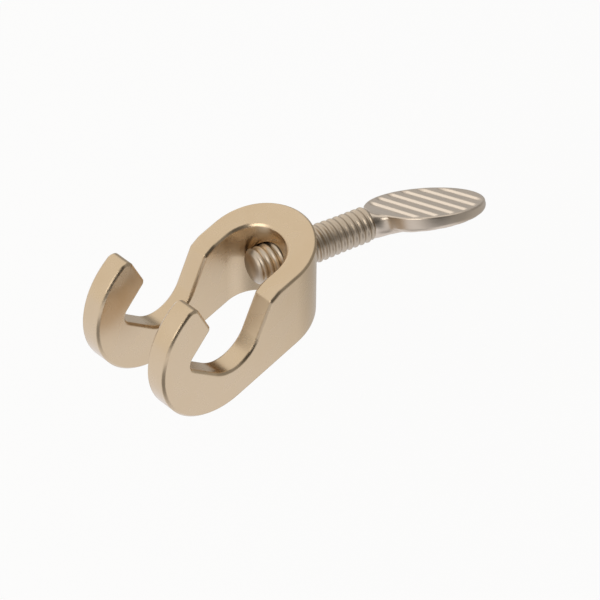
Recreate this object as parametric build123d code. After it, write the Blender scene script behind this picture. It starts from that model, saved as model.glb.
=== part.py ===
"""Boss head clamp: a U-shaped hook casting that one thumb screw locks.

Frame: +Z runs up through the middle of the upright channel, +X runs along the cross seats in the
hooks, and +Y points back to the bend that holds the screw. The origin is on the axis of the
upright channel, at the height of the cross seats. All sizes are in millimetres.
"""

import os
from math import cos, radians, sin

from build123d import *

# Round stock that both seats are made for: 1/2 inch
seat_dia = 12.7
seat_radius = seat_dia / 2
cross_seat_y = -seat_dia

# Clamp body, seen from above: a U with two parallel plates
body_half_width = 11.75
channel_half_width = 6.95
outer_bend_y = 6.4
inner_bend_y = 4.95
plan_height = 60.0
side_width = 60.0
front_margin = 1.0

# Clamp body, seen from the side: a round hook with a tail that rises towards the bend
hook_radius = 15.4
hook_centre = (-13.0, -0.7)
tail_rise = 13.8
tail_top_at_origin = 3.94
hook_tip_angle = 126.0
tip_face_angle = 115.6
nose_y = -16.05
seat_play = 0.05
seat_upper_angle = 45.0
seat_lower_angle = -38.0
seat_root_fillet = 2.2
pocket_back = (-1.6, 1.1)
pocket_back_angle = 62.7
pocket_fillet = 7.0
ridge_y = -0.6
ridge_angle = 30.0
ridge_fillet = 0.9
shoulder_fillet = 3.0
tip_fillet = 1.8
nose_fillet = 0.8
edge_break = 0.45

# Thumb screw: 5/16 inch coarse thread, set askew in the bend
thread_dia = 7.94
thread_radius = thread_dia / 2
thread_play = 0.05
screw_skew = 12.4
screw_hole_y = 15.0
screw_height = -1.05
screw_bore_length = 16.0
thread_end = 17.8
tip_chamfer = 0.8
run_out = 0.8
neck_radius = 3.2
neck_end = 20.4

# Paddle: an oval plate that gets thinner away from the neck, and droops a little from the axis
paddle_roll = 25.2
paddle_root = 20.6
paddle_drop = 0.35
paddle_droop = 5.2
paddle_centre = 11.5
paddle_half_length = 11.85
paddle_half_width = 13.4
paddle_half_thickness_root = 1.7
paddle_half_thickness_end = 0.95
paddle_rim_chamfer = 0.5
paddle_block = 8.0

# Fairing between neck and paddle: distance, half width and half height of its oval sections
fairing_middle = (2.6, 7.6, 2.15)
fairing_finish = (9.0, 10.4, 1.2)

# Grooves across both faces of the paddle, which leave ribs for the thumb inside a plain rim
groove_pitch = 3.2
groove_count = 6
first_groove = 3.2
groove_mouth = 2.3
groove_floor = 1.2
groove_depth = 0.45
groove_margin = 1.3


def screw_plane():
    """Plane at the middle of the screw hole, with z along the screw towards the paddle."""
    skew = radians(screw_skew)
    along = Vector(sin(skew), cos(skew), 0)
    across = Vector(cos(skew), -sin(skew), 0)
    return Plane(origin=(0, screw_hole_y, screw_height), x_dir=across, z_dir=along)


def screw_tip():
    """Place of the flat tip along the screw when it bears on round stock in the channel."""
    return seat_radius - screw_hole_y * cos(radians(screw_skew))


def line_meet(point_a, angle_a, point_b, angle_b):
    """Point where two lines cross, each given by a point and an angle in degrees."""
    ay, az = point_a
    by, bz = point_b
    ca, sa = cos(radians(angle_a)), sin(radians(angle_a))
    cb, sb = cos(radians(angle_b)), sin(radians(angle_b))
    along = ((by - ay) * sb - (bz - az) * cb) / (ca * sb - sa * cb)
    return ay + along * ca, az + along * sa


def on_hook(angle):
    """Point on the hook's round outside at an angle in degrees from +Y."""
    cy, cz = hook_centre
    return cy + hook_radius * cos(radians(angle)), cz + hook_radius * sin(radians(angle))


def seat_point(angle):
    """Point where round stock bears on the cross seat, at an angle in degrees from +Y."""
    radius = seat_radius + seat_play
    return cross_seat_y + radius * cos(radians(angle)), radius * sin(radians(angle))


def side_profile():
    """Side view of one plate: round hook, V seat, pocket and rising tail."""
    seat_above = seat_point(90 + seat_upper_angle)
    seat_below = seat_point(seat_lower_angle - 90)
    seat_apex = line_meet(seat_above, seat_upper_angle, seat_below, seat_lower_angle)
    nose = line_meet(seat_above, seat_upper_angle, (nose_y, 0), 90)
    tail_end = outer_bend_y + body_half_width + front_margin
    tail_top = (0, tail_top_at_origin)
    tip = on_hook(hook_tip_angle)
    tip_corner = line_meet(nose, tip_face_angle, tip, hook_tip_angle - 90)
    ridge = line_meet(pocket_back, pocket_back_angle, (ridge_y, 0), 90)
    shoulder = line_meet(ridge, ridge_angle, tail_top, tail_rise)
    pocket_low = line_meet(seat_below, seat_lower_angle, pocket_back, pocket_back_angle)
    top_end = line_meet(tail_top, tail_rise, (tail_end, 0), 90)
    foot = on_hook(tail_rise - 90)
    bottom_end = line_meet(foot, tail_rise, (tail_end, 0), 90)
    with BuildSketch(Plane.YZ) as profile:
        with BuildLine():
            Polyline(tip, tip_corner, nose, seat_apex, pocket_low, ridge, shoulder, top_end)
            Polyline(top_end, bottom_end, foot)
            ThreePointArc(foot, on_hook(180), tip)
        make_face()
        rounding = [
            (tip_corner, tip_fillet),
            (nose, nose_fillet),
            (seat_apex, seat_root_fillet),
            (pocket_low, pocket_fillet),
            (ridge, ridge_fillet),
            (shoulder, shoulder_fillet),
        ]
        for (corner_y, corner_z), radius in rounding:
            corner = profile.vertices().sort_by_distance((corner_y, corner_z, 0))[0]
            fillet(corner, radius)
    return profile.sketch


def u_outline(half_width, bend_y, front_y):
    """Plan of a straight part with a half-round end behind."""
    with BuildSketch(Plane.XY) as outline:
        with Locations((0, (front_y + bend_y) / 2)):
            Rectangle(2 * half_width, bend_y - front_y)
        with Locations((0, bend_y)):
            Circle(half_width)
    return outline.sketch


def plan_profile():
    """Plan view of the body: two parallel plates joined by a bend that is thicker at its apex."""
    front = hook_centre[0] - hook_radius - front_margin
    outside = u_outline(body_half_width, outer_bend_y, front)
    inside = u_outline(channel_half_width, inner_bend_y, front - front_margin)
    return outside - inside


def clamp_body():
    """Body casting: the side view and the plan view cut out of one block, rims eased."""
    side = extrude(side_profile(), amount=side_width / 2, both=True)
    plan = extrude(plan_profile(), amount=plan_height / 2, both=True)
    body = side & plan
    rims = body.edges().filter_by(Axis.X, reverse=True).filter_by(Axis.Z, reverse=True)
    body = chamfer(rims, edge_break)
    bore = Cylinder(thread_radius + thread_play, screw_bore_length)
    return body - screw_plane() * bore


def shank():
    """Shank from its flat tip to the plain neck under the paddle."""
    tip = screw_tip()
    with BuildSketch(Plane.XZ) as half:
        with BuildLine():
            Polyline(
                (0, tip),
                (thread_radius - tip_chamfer, tip),
                (thread_radius, tip + tip_chamfer),
                (thread_radius, thread_end),
                (neck_radius, thread_end + run_out),
                (neck_radius, neck_end),
                (0, neck_end),
                close=True,
            )
        make_face()
    return revolve(half.sketch, Axis.Z)


def paddle_frame():
    """Place of the paddle's root under the screw's axis, turned by the paddle's droop."""
    return Pos(0, paddle_drop, paddle_root) * Rot(-paddle_droop, 0, 0)


def half_thickness(distance):
    """Half of the paddle's thickness at a distance from its root."""
    length = paddle_centre + paddle_half_length
    taper = (paddle_half_thickness_end - paddle_half_thickness_root) / length
    return paddle_half_thickness_root + taper * distance


def fairing():
    """Fairing that spreads from the round neck to a flat oval inside the paddle."""
    sections = [Pos(0, 0, neck_end) * Circle(neck_radius)]
    for distance, half_width, half_height in (fairing_middle, fairing_finish):
        sections.append(paddle_frame() * Pos(0, 0, distance) * Ellipse(half_width, half_height))
    return loft(sections)


def oval_prism(margin):
    """Tall oval block over the paddle's outline, moved inwards by a margin."""
    with BuildSketch(Plane.XZ) as oval:
        with Locations((0, paddle_centre)):
            Ellipse(paddle_half_width - margin, paddle_half_length - margin)
    return extrude(oval.sketch, amount=paddle_block / 2, both=True)


def bars_across(sections):
    """Bars across the paddle, each given by the corners of its section."""
    with BuildSketch(Plane.YZ) as comb:
        for corners in sections:
            with BuildLine():
                Polyline(*corners, close=True)
            make_face()
    return extrude(comb.sketch, amount=paddle_half_width, both=True)


def paddle_blank():
    """Oval plate that tapers away from the neck, with an eased rim."""
    near = -paddle_half_length
    far = 2 * paddle_half_length + paddle_centre
    wedge = [
        (-half_thickness(near), near),
        (-half_thickness(far), far),
        (half_thickness(far), far),
        (half_thickness(near), near),
    ]
    blank = oval_prism(0) & bars_across([wedge])
    rims = blank.edges().filter_by(lambda edge: edge.geom_type != GeomType.LINE)
    return chamfer(rims, paddle_rim_chamfer)


def groove_section(middle, side):
    """Corners of one groove's section, on the upper face (side -1) or the lower face (side 1)."""
    near = middle - groove_mouth / 2
    far = middle + groove_mouth / 2
    floor = half_thickness(middle) - groove_depth
    return [
        (side * paddle_block / 2, near),
        (side * half_thickness(near), near),
        (side * floor, middle - groove_floor / 2),
        (side * floor, middle + groove_floor / 2),
        (side * half_thickness(far), far),
        (side * paddle_block / 2, far),
    ]


def paddle_grooves():
    """Parallel grooves in both faces of the paddle, kept inside its rim."""
    middles = [first_groove + number * groove_pitch for number in range(groove_count)]
    sections = [groove_section(middle, side) for middle in middles for side in (-1, 1)]
    return bars_across(sections) & oval_prism(groove_margin)


def thumb_screw():
    """Thumb screw, turned about its axis so that the paddle's +X side stands higher."""
    paddle = paddle_frame() * (paddle_blank() - paddle_grooves())
    screw = shank() + fairing() + paddle
    return screw_plane() * Rot(0, 0, -paddle_roll) * screw


def main():
    """Write one STEP file for each piece."""
    os.makedirs("parts", exist_ok=True)
    pieces = {
        "clamp_body": clamp_body(),
        "thumb_screw": thumb_screw(),
    }
    for name, piece in pieces.items():
        export_step(piece, f"parts/{name}.step")


main()
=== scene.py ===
from math import cos, pi, radians, sin

import bmesh
import bpy
import numpy as np
from mathutils import Matrix, Vector


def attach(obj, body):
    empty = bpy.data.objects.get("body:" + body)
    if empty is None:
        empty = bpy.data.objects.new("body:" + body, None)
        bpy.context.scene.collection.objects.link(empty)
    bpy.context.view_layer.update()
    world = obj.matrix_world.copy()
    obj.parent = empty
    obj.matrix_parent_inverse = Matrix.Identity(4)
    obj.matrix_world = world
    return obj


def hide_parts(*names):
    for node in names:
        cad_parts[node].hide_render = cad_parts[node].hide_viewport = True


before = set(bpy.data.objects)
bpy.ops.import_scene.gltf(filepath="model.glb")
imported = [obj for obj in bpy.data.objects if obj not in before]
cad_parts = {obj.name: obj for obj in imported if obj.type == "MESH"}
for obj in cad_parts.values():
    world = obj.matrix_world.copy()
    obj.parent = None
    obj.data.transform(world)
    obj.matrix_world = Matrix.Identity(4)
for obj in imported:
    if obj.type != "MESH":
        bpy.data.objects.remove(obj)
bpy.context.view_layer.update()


# Clamp body
# One zinc die casting in the shape of a U, whose plates end in round hooks. The sides are flat
# from the die, and every rim is eased. It is plated all over.

mm = 0.001


def linear(hex_colour):
    """Linear RGBA of an sRGB hex: a dark channel c is c / 12.92, and any other is c plus 0.055,
    over 1.055, to the power of 2.4."""
    channels = [int(hex_colour[place:place + 2], 16) / 255 for place in (1, 3, 5)]
    return [c / 12.92 if c <= 0.04045 else ((c + 0.055) / 1.055) ** 2.4 for c in channels] + [1.0]


def add(tree, kind, settings={}, inputs={}):
    """Adds one node, sets its properties, and gives each input a value or a link."""
    made = tree.nodes.new(kind)
    for name, value in settings.items():
        setattr(made, name, value)
    for name, value in inputs.items():
        if isinstance(value, bpy.types.NodeSocket):
            tree.links.new(value, made.inputs[name])
        else:
            made.inputs[name].default_value = value
    return made


def plated_metal(name, shade, tint, mottle_mm, grain_mm, gloss, rough, relief_mm, edge_mm):
    """Plated metal. Slow noise mixes shade and tint and moves the roughness from gloss to rough,
    fine noise lifts the surface by relief_mm, and edges are shaded as rounds of edge_mm."""
    mottle_detail, grain_detail = 4.0, 3.0
    usual_low, usual_high = 0.3, 0.7
    edge_samples = 6
    material = bpy.data.materials.new(name)
    material.use_nodes = True
    tree = material.node_tree
    tree.nodes.clear()
    place = add(tree, "ShaderNodeTexCoord").outputs["Object"]
    mottle = add(tree, "ShaderNodeTexNoise", {}, {
        "Vector": place,
        "Scale": 1 / (mottle_mm * mm),
        "Detail": mottle_detail,
    })
    grain = add(tree, "ShaderNodeTexNoise", {}, {
        "Vector": place,
        "Scale": 1 / (grain_mm * mm),
        "Detail": grain_detail,
    })
    colour = add(tree, "ShaderNodeMix", {"data_type": "RGBA"}, {
        "Factor": mottle.outputs["Fac"],
        6: linear(shade),
        7: linear(tint),
    })
    roughness = add(tree, "ShaderNodeMapRange", {}, {
        "Value": mottle.outputs["Fac"],
        "From Min": usual_low,
        "From Max": usual_high,
        "To Min": gloss,
        "To Max": rough,
    })
    eased = add(tree, "ShaderNodeBevel", {"samples": edge_samples}, {"Radius": edge_mm * mm})
    relief = add(tree, "ShaderNodeBump", {}, {
        "Height": grain.outputs["Fac"],
        "Distance": relief_mm * mm,
        "Strength": 1.0,
        "Normal": eased.outputs["Normal"],
    })
    metal = add(tree, "ShaderNodeBsdfPrincipled", {}, {
        "Base Color": colour.outputs[2],
        "Metallic": 1.0,
        "Roughness": roughness.outputs["Result"],
        "Normal": relief.outputs["Normal"],
    })
    add(tree, "ShaderNodeOutputMaterial", {}, {"Surface": metal.outputs["BSDF"]})
    return material


# Nickel plate with a warm, pale gold cast, on a smooth die casting. To the eye it is satin: it
# mirrors only broad patches of light, slightly mottled, with bright and dark lines at the edges.
plated_casting = plated_metal(
    "nickel plate on a zinc die casting",
    shade="#cab18f",
    tint="#d3bd9f",
    mottle_mm=6.0,
    grain_mm=0.35,
    gloss=0.22,
    rough=0.31,
    relief_mm=0.004,
    edge_mm=0.4,
)
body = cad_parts["clamp_body"]
for finish in body.material_slots:
    finish.material = plated_casting


# Thumb screw: threaded shank
# A 5/16 inch coarse thread, rolled on the screw's steel shank and plated with nickel. Its roots are
# shallow and its crests round under the plate. The tip is flat, and the neck follows the thread.

# Millimetres and degrees
crest_radius = 3.79
thread_pitch = 1.4111
thread_depth = 0.33
neck_radius = 3.2
screw_skew = 12.4
screw_hole = (0.0, 15.0, -1.05)
seat_radius = 6.35
tip_start = seat_radius - screw_hole[1] * cos(radians(screw_skew))
tip_chamfer = 0.8
thread_end = 17.8
run_out = 0.8
taper_start = 6.0
taper_end = 13.0
taper_loss = 0.15
crest_share = 0.12
root_share = 0.78
shank_columns = 120
rows_per_turn = 16
paddle_roll = 25.2


def on_screw(points):
    """Places points of the screw's own frame (x across the paddle, y down, z along the axis), in
    millimetres, on the clamp, in metres: a turn about the axis, then the skew about +Z."""
    skew, roll = radians(screw_skew), radians(paddle_roll)
    along = np.array([sin(skew), cos(skew), 0.0])
    across = np.array([cos(skew), -sin(skew), 0.0])
    down = np.cross(along, across)
    x = cos(roll) * across - sin(roll) * down
    y = sin(roll) * across + cos(roll) * down
    return (points @ np.array([x, y, along]) + np.array(screw_hole)) * mm


def skin(name, points, material):
    """Mesh over a grid of points[row, column]. Columns close round the piece, and the first and
    last rows are closed by fans round their middles."""
    rows, columns, _ = points.shape
    ends = np.stack([points[0].mean(axis=0), points[-1].mean(axis=0)])
    corners = np.concatenate([points.reshape(-1, 3), ends])
    row, column = np.meshgrid(np.arange(rows - 1), np.arange(columns), indexing="ij")
    beside = (column + 1) % columns
    here, above = row * columns, (row + 1) * columns
    quads = np.stack([here + column, here + beside, above + beside, above + column], axis=-1)
    rim = np.arange(columns)
    turned = (rim + 1) % columns
    first = np.stack([turned, rim, np.full(columns, rows * columns)], axis=-1)
    last = np.stack([rim, turned, np.full(columns, rows * columns + 1)], axis=-1)
    last[:, :2] += (rows - 1) * columns
    faces = quads.reshape(-1, 4).tolist() + first.tolist() + last.tolist()
    mesh = bpy.data.meshes.new(name)
    mesh.from_pydata(on_screw(corners).tolist(), [], faces)
    mesh.polygons.foreach_set("use_smooth", np.ones(len(mesh.polygons), dtype=bool))
    mesh.materials.append(material)
    made = bpy.data.objects.new(name, mesh)
    bpy.context.scene.collection.objects.link(made)
    return made


def smooth_step(low, high, value):
    """0 below low, 1 above high, and 3t^2 - 2t^3 between them."""
    t = np.clip((value - low) / (high - low), 0, 1)
    return t * t * (3 - 2 * t)


def threaded_shank():
    """Radius over angle and distance: a right-handed helix whose height depends on the phase
    distance / pitch - angle / turn, high over the crest's share of the pitch and low over the
    root's. It tapers a little towards the neck, and the tip's chamfer and the run-out cap it."""
    angle = np.linspace(0, 2 * pi, shank_columns, endpoint=False)
    distance = np.arange(tip_start, thread_end + run_out, thread_pitch / rows_per_turn)
    distance, angle = np.meshgrid(distance, angle, indexing="ij")
    phase = distance / thread_pitch - angle / (2 * pi)
    from_crest = 2 * np.abs(phase - np.round(phase))
    height = 1 - smooth_step(crest_share, root_share, from_crest)
    taper = taper_loss * smooth_step(taper_start, taper_end, distance)
    radius = crest_radius - taper - thread_depth * (1 - height)
    tip_cap = crest_radius - tip_chamfer + (distance - tip_start)
    end_cap = crest_radius - (crest_radius - neck_radius) * (distance - thread_end) / run_out
    radius = np.minimum(radius, np.minimum(tip_cap, end_cap))
    return np.stack([radius * np.cos(angle), radius * np.sin(angle), distance], axis=-1)


# Nickel plate on a rolled thread. To the eye it is greyer than the casting and duller than the
# paddle, so its turns show as soft light and dark lines.
plated_thread = plated_metal(
    "nickel plate on a rolled thread",
    shade="#b9a892",
    tint="#c9baa6",
    mottle_mm=4.0,
    grain_mm=0.3,
    gloss=0.34,
    rough=0.44,
    relief_mm=0.006,
    edge_mm=0.1,
)
shank = skin("screw_thread", threaded_shank(), plated_thread)
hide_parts("thumb_screw")
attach(shank, "screw")


# Thumb screw: neck and paddle
# The same steel piece goes on as a round neck, forged out into an oval paddle that gets thinner and
# droops a little. The neck spreads out below the paddle, whose upper face is a whole oval with a
# crisp rim. Grooves pressed across both faces leave ribs for finger and thumb.

# Millimetres and degrees, with distances from the root
paddle_root = 20.6
paddle_drop = 0.35
paddle_droop = 5.2
droop_start = -0.7
droop_end = 3.0
paddle_centre = 11.5
half_length = 11.85
half_width = 13.4
root_half_thickness = 1.7
end_half_thickness = 0.8
upper_edge = 0.4
lower_edge = 0.8
fillet_radius = 3.77
fillet_start = -2.78
fillet_meet = 0.72
fairing_inset = 0.3
inset_reach = 1.0
fairing_end = 9.0
fairing_power = 4
fall_start = -1.4
fall_reach = 4.2
fall_power = 2.2
lip_height = 1.9
inner_height = 0.8
lip_fall = 0.6
neck_slope = 2.3
first_groove = 4.1
groove_pitch = 3.2
groove_count = 6
groove_mouth = 2.0
groove_floor = 0.1
groove_depth = 0.42
groove_margin = 0.1
groove_run_out = 2.0
plate_rows = 260
plate_columns = 101
neck_rows = 140
neck_columns = 71
least = 1e-6
shortest_edge = 0.001
crease = 30.0


def groove_wave(distance):
    """Depth from 0 to 1 over the distance from the root: rounded trapezoids, one each pitch."""
    number = np.clip(np.round((distance - first_groove) / groove_pitch), 0, groove_count - 1)
    from_middle = np.abs(distance - first_groove - number * groove_pitch)
    return 1 - smooth_step(groove_floor / 2, groove_mouth / 2, from_middle)


def from_rim(x, distance):
    """Distance inwards from the oval x^2/w^2 + y^2/l^2 = 1, to first order: (1 - r) over the
    gradient of r, where r is the root of that sum."""
    y = distance - paddle_centre
    r = np.sqrt((x / half_width) ** 2 + (y / half_length) ** 2)
    slope = np.sqrt((x / half_width ** 2) ** 2 + (y / half_length ** 2) ** 2)
    gradient = slope / np.maximum(r, least)
    return (1 - r) / np.maximum(gradient, least)


def half_height(half_thickness, inwards, edge):
    """Half thickness of the plate, with a quarter round of radius edge at its rim."""
    short = np.clip(edge - inwards, 0, edge)
    return half_thickness - edge + np.sqrt(edge ** 2 - short ** 2)


def closed_section(x, upper, lower, distance):
    """Sections that run over x along the upper height and back along the lower height."""
    along = distance + 0 * x
    over = np.stack([x, -upper, along], axis=-1)
    under = np.stack([x, lower, along], axis=-1)[:, ::-1]
    return np.concatenate([over, under], axis=1)


def paddle_plate():
    """Oval plate whose half thickness tapers evenly from the root, less the grooves, which fade
    out at the rim. Rows and columns crowd at the rim as cosine and sine."""
    turn = np.linspace(0, pi, plate_rows)[1:-1, None]
    distance = paddle_centre - half_length * np.cos(turn)
    side = np.sin(np.linspace(-pi / 2, pi / 2, plate_columns))[None, :]
    x = half_width * np.sin(turn) * side
    inwards = from_rim(x, distance)
    taper = (end_half_thickness - root_half_thickness) / (paddle_centre + half_length)
    half_thickness = root_half_thickness + taper * distance
    kept = smooth_step(groove_margin, groove_margin + groove_run_out, inwards)
    cut = groove_depth * groove_wave(distance) * kept
    upper = half_height(half_thickness, inwards, upper_edge) - cut
    lower = half_height(half_thickness, inwards, lower_edge) - cut
    return closed_section(x, upper, lower, distance)


def neck_and_fairing():
    """Sections |x/w|^n + |y/h|^n = 1, whose n goes from 2 to 4. The width w follows a fillet arc
    from the neck to the oval, and then the oval. Below, h falls as 1 / (1 + d^2.2) and ends in the
    plate. Above, h falls with the distance outside the oval, down to a lip just over the paddle's
    face, and drops into the plate inside the rim."""
    distance = np.linspace(thread_end - paddle_root, fairing_end, neck_rows)[:, None]
    past_start = np.clip(distance - fillet_start, 0, fillet_meet - fillet_start)
    arc = neck_radius + fillet_radius - np.sqrt(fillet_radius ** 2 - past_start ** 2)
    oval = half_width * np.sqrt(np.clip(1 - ((distance - paddle_centre) / half_length) ** 2, 0, 1))
    inset = fairing_inset * smooth_step(fillet_meet, fillet_meet + inset_reach, distance)
    width = np.where(distance < fillet_meet, arc, oval - inset)
    side = np.sin(np.linspace(-pi / 2, pi / 2, neck_columns))[None, :]
    power = 2 + (fairing_power - 2) * smooth_step(fillet_start, fillet_meet, distance)
    across = (1 - np.abs(side) ** power) ** (1 / power)
    inwards = from_rim(width * side, distance)
    above = lip_height + (neck_radius - lip_height) * smooth_step(0, neck_slope, -inwards)
    above = above + (inner_height - above) * smooth_step(0, lip_fall, inwards)
    past_fall = np.maximum(distance - fall_start, 0) / fall_reach
    below = neck_radius / (1 + past_fall ** fall_power)
    return closed_section(width * side, above * across, below * across, distance)


def drooped(points):
    """Moves sections from the screw's axis on to the paddle's line, which leaves the axis at the
    root, lies paddle_drop below it, and falls away by paddle_droop."""
    x, y, distance = points[..., 0], points[..., 1], points[..., 2]
    leave = smooth_step(droop_start, droop_end, distance)
    fall = leave * (paddle_drop + distance * sin(radians(paddle_droop)))
    along = paddle_root + distance * np.where(distance > 0, cos(radians(paddle_droop)), 1.0)
    return np.stack([x, y + fall, along], axis=-1)


# Nickel plate on a forged paddle. To the eye it is satin, a little duller than the casting, so one
# wall of each groove and the crisp rim show as light lines on a darker face.
plated_paddle = plated_metal(
    "nickel plate on a forged paddle",
    shade="#cabaa7",
    tint="#d9cab8",
    mottle_mm=4.0,
    grain_mm=0.3,
    gloss=0.28,
    rough=0.36,
    relief_mm=0.003,
    edge_mm=0.2,
)
paddle = skin("screw_paddle", drooped(paddle_plate()), plated_paddle)
neck = skin("screw_neck", drooped(neck_and_fairing()), plated_paddle)
joined = paddle.modifiers.new("neck", "BOOLEAN")
joined.operation = "UNION"
joined.solver = "EXACT"
joined.object = neck
evaluated = paddle.evaluated_get(bpy.context.evaluated_depsgraph_get())
merged = bpy.data.meshes.new_from_object(evaluated)
paddle.modifiers.clear()
paddle.data = merged
bpy.data.objects.remove(neck)
cleaned = bmesh.new()
cleaned.from_mesh(merged)
bmesh.ops.dissolve_degenerate(cleaned, edges=cleaned.edges, dist=shortest_edge * mm)
bmesh.ops.triangulate(cleaned, faces=cleaned.faces)
cleaned.to_mesh(merged)
cleaned.free()
merged.set_sharp_from_angle(angle=radians(crease))
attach(paddle, "screw")


# Studio
# A plain pale floor well below the clamp, white surroundings, a soft lamp in front and a weak one
# low on the left. The metal sees the floor cool and bright in front and dimmer behind, and the
# surroundings dim low down, behind and on the front right, which draws its edges.

# Metres
floor_height = -0.075
floor_reach = 3.0
floor_share = 0.85
floor_front_strength = 1.2
floor_back_strength = 0.50
floor_front = 0.03
floor_back = 0.12
shaded_place = (0.09, -0.11, floor_height)
shaded_core = 0.05
shaded_reach = 0.12
shaded_share = 0.25
pure_white = "#ffffff"
cool_white = "#eef3ff"
paint_white = "#f4f2ee"


def seen_by(tree):
    """Two values from the kind of ray: whether metal or glass sees it, and whether those or the
    camera do."""
    path = add(tree, "ShaderNodeLightPath").outputs
    mirrored = add(tree, "ShaderNodeMath", {"operation": "ADD", "use_clamp": True}, {
        0: path["Is Glossy Ray"],
        1: path["Is Transmission Ray"],
    }).outputs[0]
    seen = add(tree, "ShaderNodeMath", {"operation": "ADD", "use_clamp": True}, {
        0: mirrored,
        1: path["Is Camera Ray"],
    }).outputs[0]
    return mirrored, seen


# Matt white paint, which to the eye has no gloss and fades into the white round it.
floor_paint = bpy.data.materials.new("matt white paint")
floor_paint.use_nodes = True
tree = floor_paint.node_tree
tree.nodes.clear()
mirrored, seen = seen_by(tree)
place = add(tree, "ShaderNodeTexCoord").outputs["Object"]
backwards = add(tree, "ShaderNodeSeparateXYZ", {}, {"Vector": place}).outputs["Y"]
in_front = add(tree, "ShaderNodeMapRange", {"interpolation_type": "SMOOTHSTEP"}, {
    "Value": backwards,
    "From Min": floor_back,
    "From Max": floor_front,
}).outputs["Result"]
dimming = add(tree, "ShaderNodeMapRange", {}, {
    "Value": in_front,
    "To Min": floor_back_strength,
    "To Max": floor_front_strength,
}).outputs["Result"]
away = add(tree, "ShaderNodeVectorMath", {"operation": "DISTANCE"}, {0: place, 1: shaded_place})
shaded = add(tree, "ShaderNodeMapRange", {"interpolation_type": "SMOOTHSTEP"}, {
    "Value": away.outputs["Value"],
    "From Min": shaded_core,
    "From Max": shaded_reach,
    "To Min": shaded_share,
}).outputs["Result"]
mirror_level = add(tree, "ShaderNodeMath", {"operation": "MULTIPLY"}, {0: dimming, 1: shaded})
cooling = add(tree, "ShaderNodeMath", {"operation": "MULTIPLY"}, {0: mirrored, 1: in_front})
glow = add(tree, "ShaderNodeMix", {"data_type": "FLOAT"}, {
    "Factor": mirrored,
    2: 1.0,
    3: mirror_level.outputs[0],
})
tone = add(tree, "ShaderNodeMix", {"data_type": "RGBA"}, {
    "Factor": cooling.outputs[0],
    6: linear(pure_white),
    7: linear(cool_white),
})
share = add(tree, "ShaderNodeMath", {"operation": "MULTIPLY"}, {0: seen, 1: floor_share})
matt = add(tree, "ShaderNodeBsdfDiffuse", {}, {"Color": linear(paint_white)})
lit = add(tree, "ShaderNodeEmission", {}, {"Color": tone.outputs[2], "Strength": glow.outputs[0]})
mixed = add(tree, "ShaderNodeMixShader", {}, {
    0: share.outputs[0],
    1: matt.outputs[0],
    2: lit.outputs[0],
})
add(tree, "ShaderNodeOutputMaterial", {}, {"Surface": mixed.outputs[0]})

floor_mesh = bpy.data.meshes.new("floor")
floor_corners = [
    (-floor_reach, -floor_reach, floor_height),
    (floor_reach, -floor_reach, floor_height),
    (floor_reach, floor_reach, floor_height),
    (-floor_reach, floor_reach, floor_height),
]
floor_mesh.from_pydata(floor_corners, [], [(0, 1, 2, 3)])
floor_mesh.materials.append(floor_paint)
floor = bpy.data.objects.new("floor", floor_mesh)
bpy.context.scene.collection.objects.link(floor)


def soft_lamp(name, place, size, power):
    """Square area lamp of a size in metres and a power in watts, turned to face the clamp."""
    data = bpy.data.lights.new(name, "AREA")
    data.size = size
    data.energy = power
    lamp = bpy.data.objects.new(name, data)
    lamp.location = place
    lamp.rotation_euler = Vector(place).to_track_quat("Z", "Y").to_euler()
    bpy.context.scene.collection.objects.link(lamp)


soft_lamp("front_softbox", place=(0.12, -0.62, 0.45), size=0.4, power=1.3)
soft_lamp("left_softbox", place=(-0.62, 0.17, 0.10), size=0.3, power=0.14)

# Directions, dot products with them, and levels of light
world_level = 0.80
full_level = 1.0
bright_side = (-0.5, -0.5, 0.7)
bright_from = 0.0
bright_to = 0.35
dim_level = 0.35
room_side = (0.54, -0.53, 0.65)
room_edge = 0.60
room_middle = 0.93
room_level = 0.12


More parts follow.
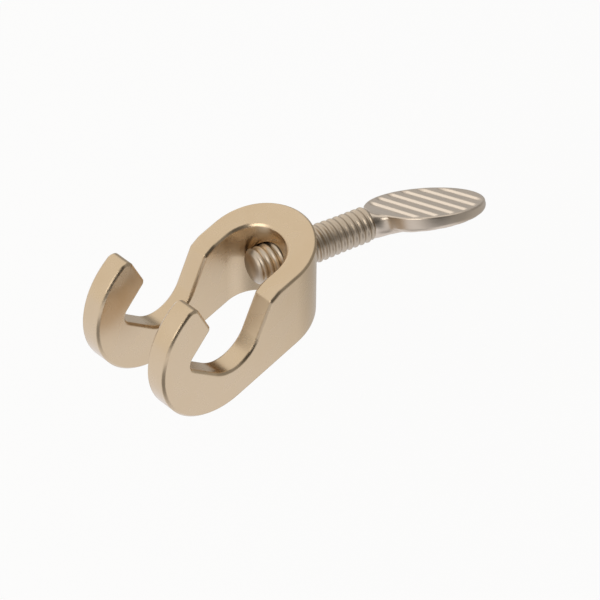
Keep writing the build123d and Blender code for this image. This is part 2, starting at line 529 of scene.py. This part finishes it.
def towards(tree, direction, side, low, high, low_level, high_level):
    """Level that goes smoothly from low_level to high_level, as the dot product of a direction with
    a side goes from low to high."""
    dot = add(tree, "ShaderNodeVectorMath", {"operation": "DOT_PRODUCT"}, {0: direction, 1: side})
    return add(tree, "ShaderNodeMapRange", {"interpolation_type": "SMOOTHSTEP"}, {
        "Value": dot.outputs["Value"],
        "From Min": low,
        "From Max": high,
        "To Min": low_level,
        "To Max": high_level,
    }).outputs["Result"]


world = bpy.data.worlds.new("white_studio")
world.use_nodes = True
bpy.context.scene.world = world
sky = world.node_tree
sky.nodes.clear()
mirrored, seen = seen_by(sky)
direction = add(sky, "ShaderNodeTexCoord").outputs["Generated"]
wall = towards(sky, direction, bright_side, bright_from, bright_to, dim_level, full_level)
room = towards(sky, direction, room_side, room_edge, room_middle, full_level, room_level)
mirror_level = add(sky, "ShaderNodeMath", {"operation": "MULTIPLY"}, {0: wall, 1: room})
plain_level = add(sky, "ShaderNodeMapRange", {}, {
    "Value": seen,
    "To Min": world_level,
    "To Max": full_level,
})
level = add(sky, "ShaderNodeMix", {"data_type": "FLOAT"}, {
    "Factor": mirrored,
    2: plain_level.outputs["Result"],
    3: mirror_level.outputs[0],
})
background = add(sky, "ShaderNodeBackground", {}, {
    "Color": linear(pure_white),
    "Strength": level.outputs[0],
})
add(sky, "ShaderNodeOutputWorld", {}, {"Surface": background.outputs[0]})


# Camera
# A long lens from the front right, above the clamp, with the frame's middle a little behind it.

photo_width = 600
focal_pixels = 2625.2
sensor_mm = 36.0
camera_place = Vector((286.26, -260.31, 331.78)) * mm
camera_aim = Vector((10.46, 8.17, -2.36)) * mm
camera_roll = 0.51
nearest = 0.01

lens = bpy.data.cameras.new("camera")
lens.sensor_fit = "HORIZONTAL"
lens.sensor_width = sensor_mm
lens.lens = sensor_mm * focal_pixels / photo_width
lens.clip_start = nearest
camera = bpy.data.objects.new("camera", lens)
looking = (camera_place - camera_aim).to_track_quat("Z", "Y").to_matrix().to_4x4()
rolled = Matrix.Rotation(radians(camera_roll), 4, "Z")
camera.matrix_world = Matrix.Translation(camera_place) @ looking @ rolled
bpy.context.scene.collection.objects.link(camera)
bpy.context.scene.camera = camera
bpy.context.scene.view_settings.view_transform = "Standard"
